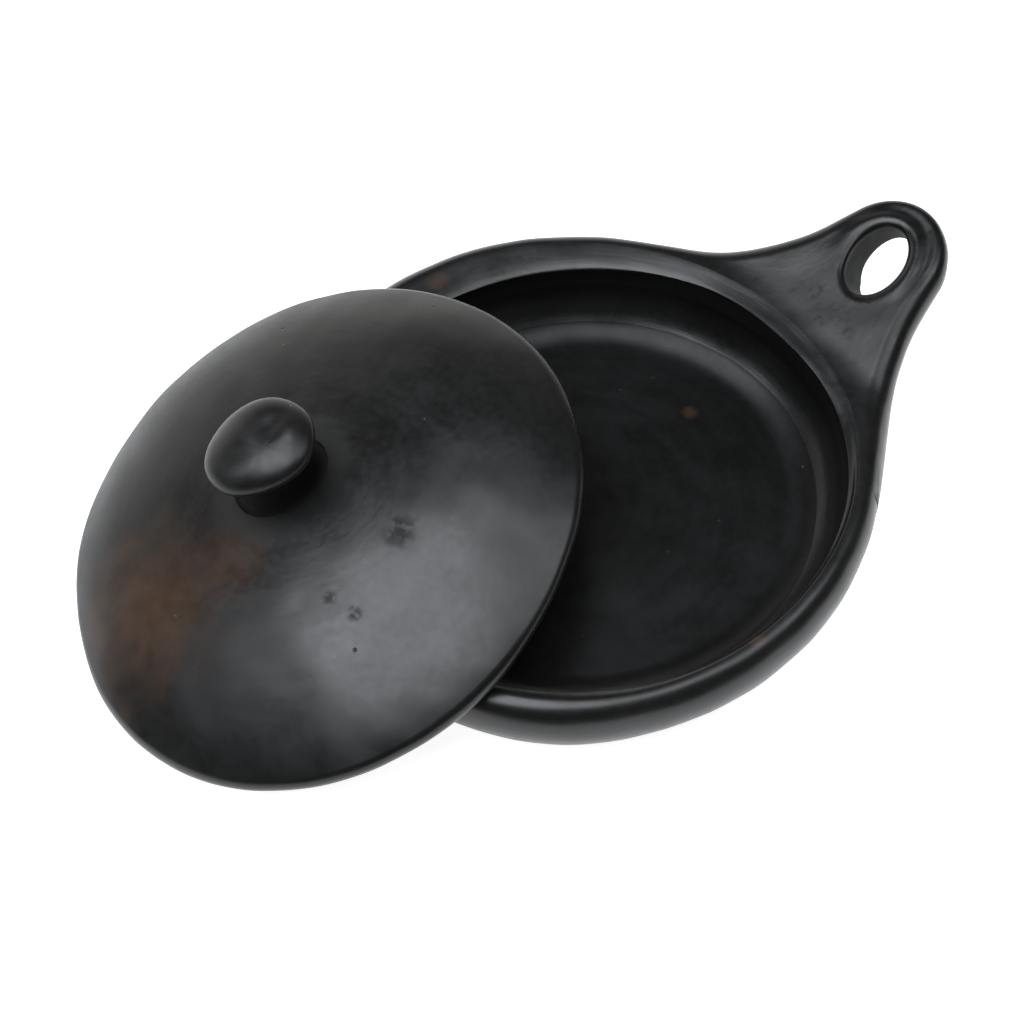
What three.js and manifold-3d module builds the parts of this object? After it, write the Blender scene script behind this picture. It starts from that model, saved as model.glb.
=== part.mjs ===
// Shallow black clay pan with a pierced lug handle, and its domed lid with a mushroom knob.
// Millimetres, +Z up. The origin is the centre of the pan's flat base, on the table.
// Every piece is one lump of clay as the potter adds it: a base slab, a wall coil, a rim coil
// and a handle make the pan; a domed slab, an edge coil, a neck and a cap make the lid.
// Neighbouring pieces keep a luting gap. The lid leans with its low edge on the table.
import * as THREE from 'three';
import { mergeVertices } from 'three/addons/utils/BufferGeometryUtils.js';
import Module from 'manifold-3d';

const wasm = await Module();
wasm.setup();

// ---- driving dimensions -------------------------------------------------------------------
const PAN_HEIGHT = 40;
const BELLY_RADIUS = 118.5;
const BELLY_HEIGHT = 31;          // the wall is widest here
const BASE_RADIUS = 74;           // flat underside
const RIM_TOP_OUTER = 110.5;      // outer edge of the rim's flat top
const RIM_TOP_INNER = 104.5;      // inner edge of the rim's flat top
const RIM_EDGE_ROUND = 2.2;
const FLOOR_TOP = 8;
const FLOOR_RADIUS = 84;          // flat part of the floor
const COVE_RADIUS = 18;           // floor turns up into the wall
const INNER_WALL_RADIUS = FLOOR_RADIUS + COVE_RADIUS;
const WALL_UNDERCUT = 1.6;        // the inside is a little wider below the rim
const SLAB_SEAM_HEIGHT = 12;
const RIM_SEAM_HEIGHT = 27;
const LUTING_GAP = 0.3;

const PAN_OUT_OF_ROUND = 0.022;   // hand-built, so slightly oval
const PAN_LONG_AXIS_DEG = 17;
const LID_OUT_OF_ROUND = 0.018;
const LID_LONG_AXIS_DEG = 50;

const HANDLE_AZIMUTH_DEG = 34.5;
const HANDLE_TIP_CENTRE = 161;    // distance from the pan's axis
const HANDLE_TIP_RADIUS = 26.8;
const HANDLE_TIP_ARC_DEG = 75;    // the round tip ends this far either side of its front
const HANDLE_ROOT_AZIMUTH_DEG = 39.5;
const HANDLE_THICKNESS = 16.5;
const HANDLE_EDGE_ROUND = 5;
const HANDLE_RISE_SLOPE = 0.3;    // the handle sweeps up towards its tip
const HANDLE_RISE_START = 116;
const HANDLE_RISE_BLEND = 20;
const HANDLE_SIDE_REACH = 28;     // how long the side curve follows the round tip's line
const HANDLE_ROOT_REACH = 33;     // and how long it follows the pan's wall
const HANDLE_ROOT_DEPTH = 8;      // the uncut root starts this far inside the pan's inner wall
const FINGER_HOLE_CENTRE = 158.5;
const FINGER_HOLE_LENGTH = 29;
const FINGER_HOLE_WIDTH = 23;

const LID_EDGE_CENTRE_RADIUS = 101;
const LID_EDGE_ROUND = 5;         // half the thickness of the lid's rounded edge
const LID_CROWN_HEIGHT = 25;      // outer crown above the middle of the edge
const LID_THICKNESS = 8;
const LID_SEAM_RADIUS = 93;
const LID_EDGE_TOP_DEG = 68;      // the dome meets the edge's round here
const LID_EDGE_UNDER_DEG = -160;  // the underside meets it here
const NECK_RADIUS = 13;
const NECK_BASE_RADIUS = 20;
const NECK_FLARE_HEIGHT = 18;     // the neck spreads into the dome over this height
const NECK_TOP = 44.5;
const CAP_RADIUS = 20.5;
const CAP_HALF_HEIGHT = 9.5;
const CAP_CENTRE = 53.5;
const KNOB_OFFSET_X = -5;         // the knob stands a little off the middle of the lid
const KNOB_OFFSET_Y = 3.5;

const LID_TILT_DEG = 16.55;       // how the lid leans off the pan
const LID_DOWNHILL_DEG = 190.5;
const LID_CENTRE_X = -99.6;
const LID_CENTRE_Y = -19.8;
const LID_REST_CLEARANCE = 0.05;

const RING_SEGMENTS = 64;
const KNOB_SEGMENTS = 32;
const ARC_STEPS = 5;

// ---- helpers ------------------------------------------------------------------------------
const radians = THREE.MathUtils.degToRad;

function burnishedClay(colour, roughness) {
  return new THREE.MeshStandardMaterial({ color: colour, roughness, metalness: 0 });
}

function namedMesh(name, geometry, material) {
  const mesh = new THREE.Mesh(geometry, material);
  mesh.name = name;
  return mesh;
}

// Points along an elliptical arc in the (radius, height) plane, angles in degrees.
function arcPoints(centreR, centreZ, semiR, semiZ, fromDeg, toDeg, steps = ARC_STEPS) {
  const points = [];
  for (let i = 0; i <= steps; i += 1) {
    const angle = radians(fromDeg + (toDeg - fromDeg) * i / steps);
    points.push(new THREE.Vector2(centreR + semiR * Math.cos(angle), centreZ + semiZ * Math.sin(angle)));
  }
  return points;
}

function outOfRound(geometry, amount, longAxisDeg) {
  const place = geometry.attributes.position;
  for (let i = 0; i < place.count; i += 1) {
    const x = place.getX(i);
    const y = place.getY(i);
    const azimuth = Math.atan2(y, x);
    const stretch = 1 + amount * Math.cos(2 * (azimuth - radians(longAxisDeg)));
    place.setXY(i, x * stretch, y * stretch);
  }
  return geometry;
}

// A ring or disc swept round +Z from a profile of (radius, height) points.
function turned(profile, segments, closed) {
  const points = closed ? [...profile, profile[0].clone()] : profile;
  const geometry = new THREE.LatheGeometry(points, segments);
  geometry.rotateX(Math.PI / 2);
  return geometry;
}

function panRing(profile, closed) {
  return outOfRound(turned(profile, RING_SEGMENTS, closed), PAN_OUT_OF_ROUND, PAN_LONG_AXIS_DEG);
}

function lidRing(profile, closed) {
  return outOfRound(turned(profile, RING_SEGMENTS, closed), LID_OUT_OF_ROUND, LID_LONG_AXIS_DEG);
}

function toSolid(geometry) {
  const bare = geometry.clone();
  bare.deleteAttribute('normal');
  bare.deleteAttribute('uv');
  const merged = mergeVertices(bare, 1e-4);
  const vertProperties = new Float32Array(merged.attributes.position.array);
  const triVerts = new Uint32Array(merged.index.array);
  return new wasm.Manifold(new wasm.Mesh({ numProp: 3, vertProperties, triVerts }));
}

function toGeometry(solid) {
  const mesh = solid.getMesh();
  const geometry = new THREE.BufferGeometry();
  geometry.setAttribute('position', new THREE.BufferAttribute(new Float32Array(mesh.vertProperties), 3));
  geometry.setIndex(new THREE.BufferAttribute(new Uint32Array(mesh.triVerts), 1));
  geometry.computeVertexNormals();
  return geometry;
}

const point = (radius, height) => new THREE.Vector2(radius, height);

// ---- pan ----------------------------------------------------------------------------------
const beltWidth = BELLY_RADIUS - BASE_RADIUS;

// Radius of the rounded belly at a height below its widest line.
function bellyRadiusAt(height) {
  const drop = (BELLY_HEIGHT - height) / BELLY_HEIGHT;
  return BASE_RADIUS + beltWidth * Math.sqrt(1 - drop * drop);
}

// Radius of the inside at a height between the cove and the rim.
function innerRadiusAt(height) {
  const coveTop = FLOOR_TOP + COVE_RADIUS;
  if (height < coveTop) {
    const drop = coveTop - height;
    return FLOOR_RADIUS + Math.sqrt(COVE_RADIUS * COVE_RADIUS - drop * drop);
  }
  const along = (height - coveTop) / (PAN_HEIGHT - coveTop);
  return INNER_WALL_RADIUS + WALL_UNDERCUT * Math.sin(Math.PI * along);
}

function evenSteps(from, to, steps) {
  const values = [];
  for (let i = 0; i <= steps; i += 1) {
    values.push(from + (to - from) * i / steps);
  }
  return values;
}

function baseSlab() {
  const top = SLAB_SEAM_HEIGHT;
  const coveTop = FLOOR_TOP + COVE_RADIUS;
  const bellyEndDeg = -THREE.MathUtils.radToDeg(Math.asin((BELLY_HEIGHT - top) / BELLY_HEIGHT));
  const coveEndDeg = -THREE.MathUtils.radToDeg(Math.asin((coveTop - top) / COVE_RADIUS));
  const profile = [
    point(0, 0),
    ...arcPoints(BASE_RADIUS, BELLY_HEIGHT, beltWidth, BELLY_HEIGHT, -90, bellyEndDeg),
    ...arcPoints(FLOOR_RADIUS, coveTop, COVE_RADIUS, COVE_RADIUS, coveEndDeg, -90, 3),
    point(0, FLOOR_TOP),
  ];
  return panRing(profile, false);
}

function wallCoil() {
  const bottom = SLAB_SEAM_HEIGHT + LUTING_GAP;
  const top = RIM_SEAM_HEIGHT;
  const outside = evenSteps(bottom, top, ARC_STEPS).map((z) => point(bellyRadiusAt(z), z));
  const inside = evenSteps(top, bottom, ARC_STEPS).map((z) => point(innerRadiusAt(z), z));
  return panRing([...outside, ...inside], true);
}

function rimCoil() {
  const bottom = RIM_SEAM_HEIGHT + LUTING_GAP;
  const roundWidth = BELLY_RADIUS - RIM_TOP_OUTER;
  const roundHeight = PAN_HEIGHT - BELLY_HEIGHT;
  const innerTop = PAN_HEIGHT - RIM_EDGE_ROUND;
  const innerRound = RIM_TOP_INNER - innerRadiusAt(innerTop);
  const profile = [
    point(bellyRadiusAt(bottom), bottom),
    ...arcPoints(RIM_TOP_OUTER, BELLY_HEIGHT, roundWidth, roundHeight, 0, 90),
    ...arcPoints(RIM_TOP_INNER, innerTop, innerRound, RIM_EDGE_ROUND, 90, 180, 3),
    ...evenSteps(innerTop, bottom, 3).slice(1).map((z) => point(innerRadiusAt(z), z)),
  ];
  return panRing(profile, true);
}

// The space the pan's own clay takes, grown by the luting gap, that the handle's root is cut to.
function handleRootCutter() {
  const grown = LUTING_GAP;
  const rootReach = (RIM_TOP_OUTER + BELLY_RADIUS) / 2;
  const below = 5;
  const above = 60;
  const fineSteps = 16;
  const bellyStartDeg = -88;
  const rimStartDeg = 4;
  const rimEndDeg = 60;
  const profile = [
    point(0, -below),
    point(BASE_RADIUS, -below),
    ...arcPoints(BASE_RADIUS, BELLY_HEIGHT, beltWidth + grown, BELLY_HEIGHT + grown,
      bellyStartDeg, 0, fineSteps),
    ...arcPoints(RIM_TOP_OUTER, BELLY_HEIGHT, BELLY_RADIUS - RIM_TOP_OUTER + grown,
      PAN_HEIGHT - BELLY_HEIGHT + grown, rimStartDeg, rimEndDeg),
    point(rootReach, PAN_HEIGHT + above),
    point(0, PAN_HEIGHT + above),
  ];
  return panRing(profile, false);
}

function handleOutline() {
  const tipArc = radians(HANDLE_TIP_ARC_DEG);
  const rootAzimuth = radians(HANDLE_ROOT_AZIMUTH_DEG);
  const rootRadius = BELLY_RADIUS;
  const inside = INNER_WALL_RADIUS - HANDLE_ROOT_DEPTH;
  const sideX = HANDLE_TIP_CENTRE + HANDLE_TIP_RADIUS * Math.cos(tipArc);
  const sideY = HANDLE_TIP_RADIUS * Math.sin(tipArc);
  const rootX = rootRadius * Math.cos(rootAzimuth);
  const rootY = rootRadius * Math.sin(rootAzimuth);
  const sideHandleX = sideX - HANDLE_SIDE_REACH * Math.sin(tipArc);
  const sideHandleY = sideY + HANDLE_SIDE_REACH * Math.cos(tipArc);
  const rootHandleX = rootX + HANDLE_ROOT_REACH * Math.sin(rootAzimuth);
  const rootHandleY = rootY - HANDLE_ROOT_REACH * Math.cos(rootAzimuth);
  const shape = new THREE.Shape();
  shape.moveTo(inside * Math.cos(rootAzimuth), -inside * Math.sin(rootAzimuth));
  shape.lineTo(rootX, -rootY);
  shape.bezierCurveTo(rootHandleX, -rootHandleY, sideHandleX, -sideHandleY, sideX, -sideY);
  shape.absarc(HANDLE_TIP_CENTRE, 0, HANDLE_TIP_RADIUS, -tipArc, tipArc, false);
  shape.bezierCurveTo(sideHandleX, sideHandleY, rootHandleX, rootHandleY, rootX, rootY);
  shape.lineTo(inside * Math.cos(rootAzimuth), inside * Math.sin(rootAzimuth));
  shape.closePath();
  const hole = new THREE.Path();
  hole.absellipse(FINGER_HOLE_CENTRE, 0, FINGER_HOLE_LENGTH / 2, FINGER_HOLE_WIDTH / 2, 0, 2 * Math.PI, true);
  shape.holes.push(hole);
  return shape;
}

// How far the handle has swept up at a distance from the pan's axis.
function handleRise(distance) {
  const along = Math.max(0, distance - HANDLE_RISE_START);
  if (along < HANDLE_RISE_BLEND) return HANDLE_RISE_SLOPE * along * along / (2 * HANDLE_RISE_BLEND);
  return HANDLE_RISE_SLOPE * (along - HANDLE_RISE_BLEND / 2);
}

function handle() {
  const flat = new THREE.ExtrudeGeometry(handleOutline(), {
    depth: HANDLE_THICKNESS - 2 * HANDLE_EDGE_ROUND,
    bevelEnabled: true,
    bevelThickness: HANDLE_EDGE_ROUND,
    bevelSize: HANDLE_EDGE_ROUND,
    bevelOffset: -HANDLE_EDGE_ROUND,
    bevelSegments: 3,
    curveSegments: 14,
  });
  flat.translate(0, 0, PAN_HEIGHT - HANDLE_THICKNESS + HANDLE_EDGE_ROUND);
  const place = flat.attributes.position;
  for (let i = 0; i < place.count; i += 1) {
    place.setZ(i, place.getZ(i) + handleRise(Math.hypot(place.getX(i), place.getY(i))));
  }
  flat.rotateZ(radians(HANDLE_AZIMUTH_DEG));
  return toGeometry(toSolid(flat).subtract(toSolid(handleRootCutter())));
}

// ---- lid, in its own frame: +Z up its axis, z = 0 through the middle of its edge ---------------
const lidEdgeTopRadius = LID_EDGE_CENTRE_RADIUS + LID_EDGE_ROUND * Math.cos(radians(LID_EDGE_TOP_DEG));
const lidEdgeTopHeight = LID_EDGE_ROUND * Math.sin(radians(LID_EDGE_TOP_DEG));

function lidOuterHeight(radius) {
  const along = radius / lidEdgeTopRadius;
  return LID_CROWN_HEIGHT - (LID_CROWN_HEIGHT - lidEdgeTopHeight) * along * along;
}

function lidInnerHeight(radius) {
  const innerEdge = LID_EDGE_CENTRE_RADIUS - LID_EDGE_ROUND;
  const along = radius / innerEdge;
  return (LID_CROWN_HEIGHT - LID_THICKNESS) * (1 - along * along);
}

function lidDome() {
  const steps = 8;
  const under = evenSteps(0, LID_SEAM_RADIUS, steps).map((r) => point(r, lidInnerHeight(r)));
  const over = evenSteps(LID_SEAM_RADIUS, 0, steps).map((r) => point(r, lidOuterHeight(r)));
  return lidRing([...under, ...over], false);
}

function lidEdge() {
  const seam = LID_SEAM_RADIUS + LUTING_GAP;
  const profile = [
    point(seam, lidInnerHeight(seam)),
    ...arcPoints(LID_EDGE_CENTRE_RADIUS, 0, LID_EDGE_ROUND, LID_EDGE_ROUND,
      LID_EDGE_UNDER_DEG, LID_EDGE_TOP_DEG, 9),
    point(seam, lidOuterHeight(seam)),
  ];
  return lidRing(profile, true);
}

function knobNeck() {
  const seat = (radius) => point(radius, lidOuterHeight(radius) + LUTING_GAP);
  const footHeight = 1;
  const flareBase = lidOuterHeight(NECK_BASE_RADIUS) + LUTING_GAP + footHeight;
  const flareWidth = NECK_BASE_RADIUS - NECK_RADIUS;
  const profile = [
    point(0, LID_CROWN_HEIGHT + LUTING_GAP),
    seat(NECK_RADIUS),
    seat(NECK_BASE_RADIUS),
    ...arcPoints(NECK_BASE_RADIUS, flareBase + NECK_FLARE_HEIGHT, flareWidth, NECK_FLARE_HEIGHT, 270, 180),
    point(NECK_RADIUS, NECK_TOP),
    point(0, NECK_TOP),
  ];
  return turned(profile, KNOB_SEGMENTS, false);
}

function knobCap() {
  const bottom = NECK_TOP + LUTING_GAP;
  const bottomDeg = -THREE.MathUtils.radToDeg(Math.asin((CAP_CENTRE - bottom) / CAP_HALF_HEIGHT));
  const profile = [
    point(0, bottom),
    ...arcPoints(0, CAP_CENTRE, CAP_RADIUS, CAP_HALF_HEIGHT, bottomDeg, 90, 9).slice(0, -1),
    point(0, CAP_CENTRE + CAP_HALF_HEIGHT),
  ];
  return turned(profile, KNOB_SEGMENTS, false);
}

// ---- assembly -----------------------------------------------------------------------------
const clayBlack = burnishedClay(0x151515, 0.45);
const floorBlack = burnishedClay(0x111111, 0.55);
const smokedBrown = burnishedClay(0x1b1714, 0.5);

const pan = new THREE.Group();
pan.add(namedMesh('base_slab', baseSlab(), floorBlack.clone()));
pan.add(namedMesh('wall_coil', wallCoil(), clayBlack.clone()));
pan.add(namedMesh('rim_coil', rimCoil(), clayBlack.clone()));
pan.add(namedMesh('handle', handle(), clayBlack.clone()));

const lid = new THREE.Group();
lid.add(namedMesh('lid_dome', lidDome(), smokedBrown.clone()));
lid.add(namedMesh('lid_edge', lidEdge(), clayBlack.clone()));

// The knob stands square to the dome at its own foot.
const knob = new THREE.Group();
knob.add(namedMesh('knob_neck', knobNeck(), clayBlack.clone()));
knob.add(namedMesh('knob_cap', knobCap(), clayBlack.clone()));
const domeCurve = 2 * (LID_CROWN_HEIGHT - lidEdgeTopHeight) / lidEdgeTopRadius ** 2;
const knobAxis = new THREE.Vector3(domeCurve * KNOB_OFFSET_X, domeCurve * KNOB_OFFSET_Y, 1).normalize();
const knobFoot = new THREE.Vector3(KNOB_OFFSET_X, KNOB_OFFSET_Y,
  lidOuterHeight(Math.hypot(KNOB_OFFSET_X, KNOB_OFFSET_Y)));
knob.position.copy(knobFoot).addScaledVector(knobAxis, -LID_CROWN_HEIGHT);
knob.quaternion.setFromUnitVectors(new THREE.Vector3(0, 0, 1), knobAxis);
lid.add(knob);

// The lid tips downhill about a level axis until its low edge meets the table.
const tilt = radians(LID_TILT_DEG);
const downhill = radians(LID_DOWNHILL_DEG);
const lowReach = LID_EDGE_CENTRE_RADIUS * (1 + LID_OUT_OF_ROUND
  * Math.cos(2 * (downhill - radians(LID_LONG_AXIS_DEG))));
const lidCentreHeight = LID_EDGE_ROUND + LID_REST_CLEARANCE + lowReach * Math.sin(tilt);
lid.position.set(LID_CENTRE_X, LID_CENTRE_Y, lidCentreHeight);
lid.quaternion.setFromAxisAngle(new THREE.Vector3(-Math.sin(downhill), Math.cos(downhill), 0), tilt);

const object = new THREE.Group();
object.add(pan);
object.add(lid);

export default object;
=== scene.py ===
"""The looks of a shallow black clay pan and its domed lid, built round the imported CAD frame.

Shapes are worked out in millimetres and made in metres. Every skin is one smooth surface, cut along the
seams where the potter luted one lump of clay to the next, so that each lump is its own closed piece.
"""

import math

import bpy
import numpy as np
from mathutils import Matrix, Vector


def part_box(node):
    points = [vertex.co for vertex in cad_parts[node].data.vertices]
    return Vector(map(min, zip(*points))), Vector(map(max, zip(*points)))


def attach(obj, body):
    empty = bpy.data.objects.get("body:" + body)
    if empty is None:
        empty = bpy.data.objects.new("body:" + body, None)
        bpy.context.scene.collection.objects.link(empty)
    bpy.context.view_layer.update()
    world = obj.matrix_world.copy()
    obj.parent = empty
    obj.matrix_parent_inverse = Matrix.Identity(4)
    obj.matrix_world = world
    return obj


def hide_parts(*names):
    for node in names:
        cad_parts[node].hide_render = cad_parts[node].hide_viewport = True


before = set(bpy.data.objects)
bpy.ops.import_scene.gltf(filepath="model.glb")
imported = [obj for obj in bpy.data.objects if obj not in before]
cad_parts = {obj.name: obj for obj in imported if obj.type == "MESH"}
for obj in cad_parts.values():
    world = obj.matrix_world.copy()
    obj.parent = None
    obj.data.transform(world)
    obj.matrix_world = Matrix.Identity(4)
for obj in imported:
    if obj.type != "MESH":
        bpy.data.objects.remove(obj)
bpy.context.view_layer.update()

MM = 0.001

# ---- sizes in mm, as in the CAD source or close to them ------------------------------------------
PAN_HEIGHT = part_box("rim_coil")[1].z / MM
BELLY_RADIUS = 118.5
BELLY_HEIGHT = 27.0
BASE_RADIUS = 74.0
RIM_TOP_OUTER = 109.2
RIM_TOP_INNER = 102.0
RIM_EDGE_ROUND = 1.0
FLOOR_TOP = 8.0
FLOOR_RADIUS = 81.4
COVE_RADIUS = 19.8
WALL_UNDERCUT = 0.8
SLAB_SEAM_HEIGHT = 12.0
RIM_SEAM_OUTSIDE = 23.0
RIM_SEAM_INSIDE = 29.0
PAN_LONG_AXIS = math.radians(17)
INSIDE_OUT_OF_ROUND = 0.0385
INSIDE_SHIFT = (1.4, 2.05)  # the opening is not quite over the middle of the base
OUTSIDE_OUT_OF_ROUND = 0.010
OUTSIDE_LOBES = 0.014  # three soft corners, one near the handle
OUTSIDE_LOBE_AXIS = math.radians(15)
OUTSIDE_SHIFT_Y = 6.3  # the rim is thicker at the back than at the front
RIM_CROWN_DROP = 3.4  # the rim's top falls this much towards the opening
RIM_CROWN_POWER = 1.6
CROWN_FLATTENING = 0.55  # the crown is this much flatter beside the handle
CROWN_FLAT_WIDTH = math.radians(38)
CROWN_FLAT_DEPTHS = (8.0, 3.0)  # below the rim's top, where the flattening starts and is full
RIM_FLAT_DEPTH = 2.5  # the rim's inside is pressed straighter where the handle joins
RIM_FLAT_WIDTH = math.radians(20)
RIM_FLAT_FADE = (8.0, 4.0)  # starts this far below the cove's top, full this far below the rim's

HANDLE_AZIMUTH = math.radians(34.5)
HANDLE_TIP_CENTRE = 161.0
HANDLE_TIP_RADIUS = 26.8
HANDLE_TAPER = 0.27
HANDLE_FLANK_FILLET = 37.0  # how broadly the handle's sides spread into the rim
HANDLE_THICKNESS = 16.5
RIM_EDGE = np.array([BELLY_RADIUS - RIM_TOP_OUTER, PAN_HEIGHT - BELLY_HEIGHT])
HANDLE_EDGE = np.array([8.4, 10.0])  # how far its rounded edge reaches in, and down to its widest line
HANDLE_EDGE_CHANGE = (114.0, 140.0)  # between these it changes over from the rim's edge to its own
HANDLE_RISE_SLOPE = 0.295
HANDLE_RISE_START = 106.0
HANDLE_RISE_BLEND = 14.0
HANDLE_BEND_START = 125.0
HANDLE_BEND = 0.0009  # its far end curves to one side
HOLE_CENTRE = np.array([153.8, 1.4])
HOLE_TURN = math.radians(20)  # the oval hole is turned off the handle's line
HOLE_HALF = np.array([15.8, 10.7])
HOLE_LEAN = np.array([0.62, -0.10])  # it drifts this far along and across for each mm of depth
HOLE_NARROWING = np.array([0.06, 0.10])
HOLE_CRISP_SIDE = math.radians(115)  # its arris is crisp on this side and soft on the other
HOLE_ARRIS_ROUND = (2.0, 7.0)
RIDGE_HEIGHT, RIDGE_FROM_HOLE, RIDGE_WIDTH = 0.7, 4.5, 3.0
GROOVE_DEPTH, GROOVE_FROM_HOLE, GROOVE_WIDTH = 0.6, 9.5, 2.8
RIDGE_SPAN = (HANDLE_TIP_CENTRE - 18, HANDLE_TIP_CENTRE + 4)  # ridge and groove grow in over this
UNDERSIDE_FILLET = 11.0
UNDERSIDE_FILLET_TURN = (math.radians(44), math.radians(22))  # it starts and is full at these turns
UNDERSIDE_FILLET_ONSET = 5.0
ROOT_HALF_ANGLE = math.radians(47)
ROOT_TOP_RADIUS = RIM_TOP_OUTER - 0.6
ROOT_LOW_RADIUS = 107.0
ROOT_INSET = 2.0  # the hidden face of the root lies this far inside its own skin
TUCK_DEPTH = 0.8  # the pan's skin sinks this much under the root
TUCK_FADE = (0.4, 3.0)  # the sinking starts and is full this far inside the root's edge

LID_EDGE_CENTRE_RADIUS = 101.0
LID_EDGE_ROUND = 5.0
LID_CROWN_HEIGHT = 25.0
LID_THICKNESS = 8.0
LID_SEAM_RADIUS = 93.0
LID_OUT_OF_ROUND = 0.018
LID_LONG_AXIS = math.radians(50)
LID_WOBBLE = (  # the hand-cut outline: lobes, size and phase
    (1, 0.009, -1.57),
    (2, 0.010, 3.14),
    (3, 0.0012, -0.1),
    (4, 0.0047, 0.1),
    (5, 0.0026, 2.8),
)
SHOULDER = 0.25  # how much of the dome's fall comes late, near its edge
EDGE_TOP_ANGLE = 62.0
EDGE_UNDER_ANGLE = -165.0
NECK_RADIUS = 13.0
NECK_FOOT_RADIUS = 18.5
NECK_FLARE_HEIGHT = 14.0
NECK_FLARE_POWER = 2.4
NECK_TOP = 41.0
NECK_FOOT_RISE = 0.10  # the neck's foot is smeared out over the dome and ends in this thin edge
NECK_LEAN = np.array([2.4, -2.0, 0.0])  # the neck leans this far from its foot to its cap
FOOT_BLEND = 8.0  # the knob's relief takes over from the dome's in this height above the crown
KNOB_OUT_OF_ROUND = 0.05
KNOB_LONG_AXIS = math.radians(12)
CAP_RADIUS = 20.8
CAP_HALF_HEIGHT = 8.0
CAP_CENTRE = 49.0
CAP_TOP_ANGLE = 86.0
CAP_UNDERSIDE_ANGLE = -50.0
KNOB_OFFSET = np.array([-4.4, 5.9, 0.0])  # the knob stands off the middle of the lid

# Chips, and the marks of the potter's hand: place, reach and depth. A lump has a depth below 0.
RIM_CHIPS = (
    (np.array([79.5, 54.0, 39.0]), 2.4, 0.7),
    (np.array([76.0, 58.5, 39.0]), 2.0, 0.5),
    (np.array([84.0, 47.0, 39.0]), 2.2, 0.4),
)
KNOB_DENTS = tuple(  # with places about the cap's centre
    (KNOB_OFFSET + [0, 0, CAP_CENTRE] + place, reach, depth)
    for place, reach, depth in (
        ([-1.0, 1.0, 7.0], 6.5, -0.60),
        ([7.0, 4.0, 7.0], 5.0, 0.90),
        ([13.0, 2.0, 5.0], 5.0, -0.50),
    )
)

MARK_LENGTH = 0.012  # how long polish marks are round the axis, in metres for each radian
MARK_LEAN = 1.7  # how far height counts beside distance from the axis, across the marks
HANDLE_MARK_LENGTH = 0.12  # marks along the handle are drawn out by one over this

# ---- how finely the skins are divided ---------------------------------------------------------
PAN_COLUMNS = 480
LID_COLUMNS = 420
KNOB_COLUMNS = 120
ROOT_COLUMNS = 110
FREE_COLUMNS = 290
SHEET_ROWS = 44
WALL_ROWS = 22  # down the wall of the hole
THROAT_TURN = math.radians(128)  # the free outline is joined to this much of the hole, either way


# ---- small geometry helpers -----------------------------------------------------------------
def smoothstep(low, high, value):
    """0 at low, 1 at high, easing in and out between them. Low may be the larger."""
    share = np.clip((value - low) / (high - low), 0.0, 1.0)
    return share * share * (3 - 2 * share)


def arc(centre, half, start, end, steps):
    """Points on an elliptical arc in the (radius, height) plane, angles in degrees."""
    angle = np.radians(np.linspace(start, end, steps + 1))
    return np.column_stack([centre[0] + half[0] * np.cos(angle), centre[1] + half[1] * np.sin(angle)])


def straight(start, end, steps):
    return np.linspace(start, end, steps + 1)


def joined(*runs):
    """One run of points from several that meet end to end."""
    return np.vstack([runs[0]] + [run[1:] for run in runs[1:]])


def make_waves(seed, shortest, longest, count, height):
    """A smooth random relief: plane waves in all directions, with wavelengths and rms height in mm."""
    draw = np.random.default_rng(seed)
    direction = draw.normal(size=(count, 3))
    direction /= np.linalg.norm(direction, axis=1)[:, None]
    length = shortest * (longest / shortest) ** draw.random(count)
    size = length / np.sqrt(np.mean(length**2)) * height * math.sqrt(2 / count)
    return direction.T * 2 * np.pi / length, draw.random(count) * 2 * np.pi, size


def relief_of(points, wave_sets, dents=()):
    """How far the hand-worked skin stands proud of the true shape at each point, in mm."""
    flat = points.reshape(-1, 3)
    height = np.zeros(len(flat))
    for spread, phase, size in wave_sets:
        height += np.sin(flat @ spread + phase) @ size
    for centre, reach, depth in dents:
        offset = (flat - centre) / reach
        height -= depth * np.exp(-np.sum(offset**2, axis=1))
    return height.reshape(points.shape[:-1])


PAN_WAVES = (make_waves(11, 45, 130, 22, 0.35), make_waves(12, 12, 30, 26, 0.05))
LID_WAVES = (make_waves(21, 50, 130, 22, 0.40), make_waves(22, 12, 30, 26, 0.05))
KNOB_WAVES = (make_waves(31, 14, 34, 16, 0.25),)


def unit(vectors):
    return vectors / np.maximum(np.linalg.norm(vectors, axis=-1), 1e-12)[..., None]


def swept_normals(skin):
    """Outward normals of a skin whose rows run from its top, out and down. Its columns go round."""
    along = np.gradient(skin, axis=0)
    around = np.roll(skin, -1, axis=1) - np.roll(skin, 1, axis=1)
    return unit(np.cross(along, around))


def worked_skin(skin, wave_sets, dents=()):
    """The skin with its hand-worked relief, and its normals."""
    moved = skin + swept_normals(skin) * relief_of(skin, wave_sets, dents)[..., None]
    return moved, swept_normals(moved)


class PieceMesh:
    """Collects rings of points into one closed mesh."""

    def __init__(self):
        self.points = []
        self.normals = []
        self.faces = []

    def add_ring(self, points, normals):
        start = len(self.points)
        self.points.extend(map(tuple, points))
        self.normals.extend(map(tuple, normals))
        return list(range(start, start + len(points)))

    def bridge(self, ring_a, ring_b):
        count = len(ring_a)
        for i in range(count):
            k = (i + 1) % count
            self.faces.append((ring_a[i], ring_b[i], ring_b[k], ring_a[k]))

    def fan(self, ring, centre, normal, at_start):
        hub = len(self.points)
        self.points.append(tuple(centre))
        self.normals.append(tuple(normal))
        count = len(ring)
        for i in range(count):
            k = (i + 1) % count
            self.faces.append((hub, ring[i], ring[k]) if at_start else (hub, ring[k], ring[i]))


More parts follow.
